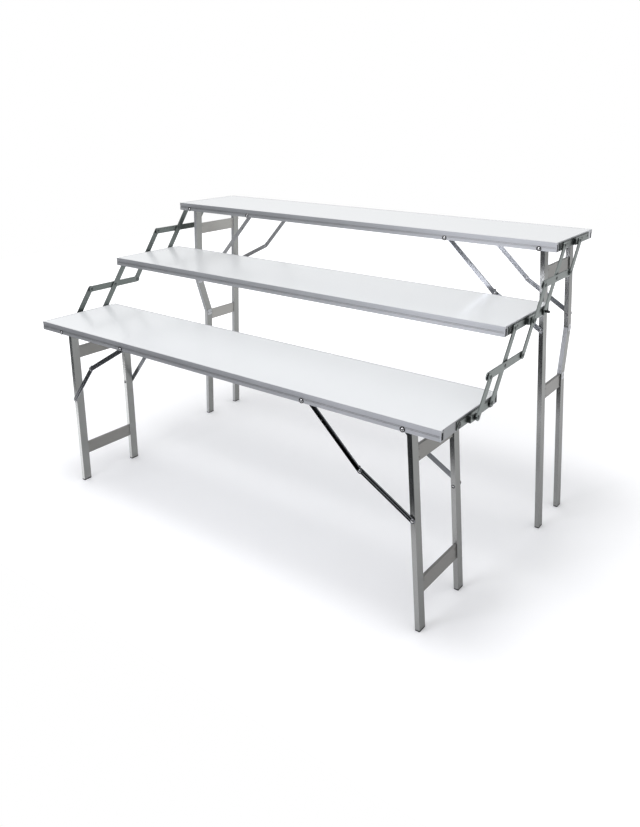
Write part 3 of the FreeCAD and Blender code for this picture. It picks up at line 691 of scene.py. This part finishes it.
def addPlateTrim():
    ring = washer(plateTrim["washer"], plateTrim["boltHead"] + plateTrim["washerGap"],
                  plateTrim["washerHeight"])
    socket = button(plateTrim["socket"], plateTrim["socketHeight"])
    for shelf in shelves:
        low, high = corners(shelf + "_end_plates")
        face = corners(shelf + "_end_rims")[1].x + plateTrim["plate"]
        y, z = low.y + plateTrim["boltAlong"], high.z - plateTrim["boltDown"]
        seam = slab(high.y - low.y - 2 * plateTrim["seamEnd"], plateTrim["seam"],
                    plateTrim["seamThick"], plateTrim["seamCorner"])
        rings, sockets, seams = [], [], []
        for out in (-1, 1):
            rings.append(facing((out * face, y, z), (out, 0, 0)))
            sockets.append(facing((out * (face + plateTrim["headHeight"]), y, z), (out, 0, 0)))
            middle = (out * face, (low.y + high.y) / 2, high.z - plateTrim["seamDown"])
            seams.append(facing(middle, (out, 0, 0), math.pi / 2))
        body = bodyOf[shelf + "_end_plates"]
        copies(shelf + "BoltWashers", ring, rings, body, "black_nylon")
        copies(shelf + "BoltSockets", socket, sockets, body, "black_nylon")
        copies(shelf + "PlateSeams", seam, seams, body, "black_nylon")
        discard(seam)
    discard(ring, socket)


addPlateTrim()


# fine darker strips, barely proud, along the faces of the long rims: painted shade for the steps of the
# rim's profile
rimLine = {"height": 0.0011, "proud": 0.0003, "corner": 0.0004, "places": (0.52, 0.63), "end": 0.004}


def addRimLines():
    for shelf in shelves:
        low, high = corners(shelf + "_long_rims")
        line = slab(high.x - low.x - 2 * rimLine["end"], rimLine["height"], rimLine["proud"],
                    rimLine["corner"])
        places = []
        for share in rimLine["places"]:
            z = high.z - share * (high.z - low.z)
            places.append(facing((0, low.y, z), (0, -1, 0), math.pi / 2))
            places.append(facing((0, high.y, z), (0, 1, 0), math.pi / 2))
        copies(shelf + "RimLines", line, places, bodyOf[shelf + "_long_rims"], "rail_steel")
        discard(line)


addRimLines()
print("fittings made")


# the floor ends shortly before the table, so upright metal mirrors the dark hall beyond it
stageLook = {"outline": [(-6, -1.2), (7, -1.2), (7, 8), (-6, 8)], "rough": 0.7,
             "color": (0.96, 0.96, 0.965), "lift": 0.07, "farLift": 0.5, "near": 1.1, "far": 3.2}


def makeStage():
    bpy.ops.object.select_all(action="DESELECT")
    bpy.ops.mesh.primitive_circle_add(vertices=len(stageLook["outline"]), fill_type="NGON")
    floor = bpy.context.object
    floor.name = "floor"
    for corner, (x, y) in zip(floor.data.vertices, stageLook["outline"]):
        corner.co = (x, y, 0)
    finish = Finish("paleFloor")
    distance = finish.node("ShaderNodeVectorMath", {"operation": "LENGTH"}, {0: finish.place()}, 1)
    reach = finish.spread(distance, 0, 1, stageLook["near"], stageLook["far"], "SMOOTHSTEP")
    low, high = [tint(*[stageLook[key]] * 3) for key in ("lift", "farLift")]
    floor.data.materials.append(finish.finished(
        Base_Color=tint(*stageLook["color"]), Roughness=stageLook["rough"],
        Emission_Color=finish.blend(reach, low, high), Emission_Strength=1.0))


lights = {
    "overhead": {"at": (-0.4, -0.8, 8.0), "aim": (0, 0.1, 0), "size": (2.4, 2.0), "power": 152,
                 "color": (1, 1, 1)},
    "frontPanel": {"at": (-0.6, -3.6, 1.8), "aim": (0.8, 0, 0.9), "size": (1.6, 1.4), "power": 46,
                   "color": (0.93, 0.93, 1.0)},
}


def makeLight(name, look):
    lamp = bpy.data.lights.new(name, "AREA")
    lamp.shape = "RECTANGLE"
    lamp.size, lamp.size_y = look["size"]
    lamp.energy = look["power"]
    lamp.color = look["color"]
    holder = bpy.data.objects.new(name, lamp)
    holder.location = look["at"]
    aim = Vector(look["aim"]) - Vector(look["at"])
    holder.rotation_euler = aim.to_track_quat("-Z", "Y").to_euler()
    bpy.context.scene.collection.objects.link(holder)


# a white backdrop for the camera; for everything else a hall with a bright ceiling,
# grey walls and a dark front
hallLook = {"ceiling": (0.80, 0.805, 0.82), "wall": (0.76, 0.76, 0.765), "front": (0.065, 0.07, 0.075),
            "left": (0.85, 0.855, 0.86), "leftFrom": 0.1, "leftTo": -0.7, "frontFrom": 0.1,
            "frontTo": -0.35, "ceilingFrom": 0.12, "ceilingTo": 0.6}


def makeWorld():
    world = bpy.data.worlds.new("studio")
    bpy.context.scene.world = world
    world.use_nodes = True
    sky = Graph(world.node_tree)
    direction = sky.node("ShaderNodeTexCoord", {}, {}, "Generated")
    split = {axis: sky.node("ShaderNodeSeparateXYZ", {}, {"Vector": direction}, axis) for axis in "XYZ"}
    around = tint(*hallLook["wall"])
    for axis, part in (("X", "left"), ("Y", "front"), ("Z", "ceiling")):
        share = sky.spread(split[axis], 0, 1, hallLook[part + "From"], hallLook[part + "To"],
                           "SMOOTHSTEP")
        around = sky.blend(share, around, tint(*hallLook[part]))
    seen = sky.node("ShaderNodeLightPath", {}, {}, "Is Camera Ray")
    background = sky.tree.nodes.new("ShaderNodeBackground")
    sky.fill(background, {"Color": sky.blend(seen, around, tint(1, 1, 1)), "Strength": 1.0})
    output = sky.tree.nodes.new("ShaderNodeOutputWorld")
    sky.tree.links.new(background.outputs[0], output.inputs["Surface"])


# the view's angles in radians, its place in metres, its focal length in pixels of the frame
cameraView = {"at": (1.95512, -2.51874, 1.69677), "turn": 0.63989, "dip": 0.27657,
              "focal": 759.93, "sensor": 36.0, "frame": (640, 827), "centre": (320.0, 319.96)}


def makeCamera():
    data = bpy.data.cameras.new("view")
    long = max(cameraView["frame"])
    data.sensor_width = cameraView["sensor"]
    data.lens = cameraView["focal"] * data.sensor_width / long
    data.shift_x = (cameraView["frame"][0] / 2 - cameraView["centre"][0]) / long
    data.shift_y = (cameraView["centre"][1] - cameraView["frame"][1] / 2) / long
    data.dof.use_dof = False
    holder = bpy.data.objects.new("view", data)
    holder.location = cameraView["at"]
    holder.rotation_euler = (math.pi / 2 - cameraView["dip"], 0, cameraView["turn"])
    bpy.context.scene.collection.objects.link(holder)
    bpy.context.scene.camera = holder


makeStage()
for name, look in lights.items():
    makeLight(name, look)
makeWorld()
makeCamera()
bpy.context.scene.view_settings.view_transform = "Standard"
print("stage, light and camera set")
